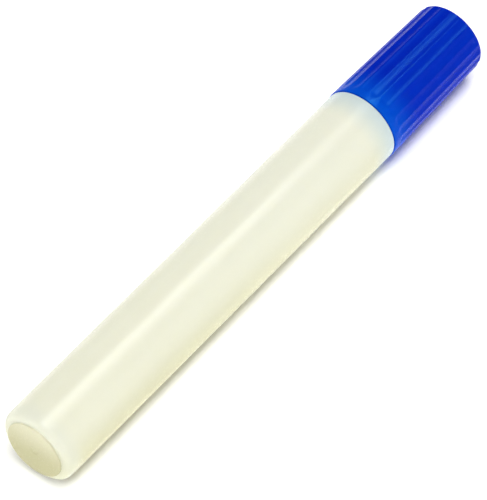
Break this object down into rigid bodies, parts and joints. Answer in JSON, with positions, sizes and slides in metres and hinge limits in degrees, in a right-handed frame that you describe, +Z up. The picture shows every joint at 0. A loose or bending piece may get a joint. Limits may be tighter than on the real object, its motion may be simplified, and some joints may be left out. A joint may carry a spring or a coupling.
{
  "type": "fabric marking pen",
  "caption": "Capped valve-action fabric marking pen with a round translucent barrel, bullet nib and fluted push-on cap.",
  "frame": {"origin": "middle of the pen's length, below its axis, at the lowest point of the pen as it lies on its side", "axes": "+X along the pen from the barrel's closed rear end towards the cap's closed top, +Z up"},
  "size_m": [0.1348, 0.0174, 0.0173],
  "materials": {
    "milky_plastic": "glossy translucent natural polypropylene, faintly cream",
    "cream_ink": "opaque cream liquid ink",
    "ball_steel": "polished ball",
    "white_plastic": "satin white moulded plastic",
    "grey_rubber": "matte soft rubber",
    "spring_steel": "drawn stainless wire",
    "fibre_felt": "absorbent bonded fibre",
    "nib_felt": "dense bonded fibre nib",
    "blue_plastic": "glossy saturated blue moulded plastic"
  },
  "bodies": {
    "barrel_body": {"barrel": "milky_plastic", "ink_fill": "cream_ink", "front_collar": "white_plastic", "valve_gasket": "grey_rubber", "valve_housing": "white_plastic", "valve_spring": "spring_steel", "feed_ring": "fibre_felt", "nose_cone": "white_plastic"},
    "nib_body": {"nib": "nib_felt", "valve_stem": "white_plastic"},
    "ball_body": {"mixing_ball": "ball_steel"},
    "cap_body": {"cap": "blue_plastic", "sealing_cup": "white_plastic"}
  },
  "joints": [
    {"name": "cap_pull", "type": "slide", "parent": "barrel_body", "child": "cap_body", "axis": [1, 0, 0], "range_m": [0, 0.04]},
    {"name": "nib_press", "type": "slide", "parent": "barrel_body", "child": "nib_body", "axis": [-1, 0, 0], "range_m": [0, 0.002], "stiffness_N_per_m": 400, "springref_m": -0.003, "deforming": ["valve_spring"]},
    {"name": "ball_run", "type": "slide", "parent": "barrel_body", "child": "ball_body", "axis": [1, 0, 0], "range_m": [0, 0.081]}
  ]
}
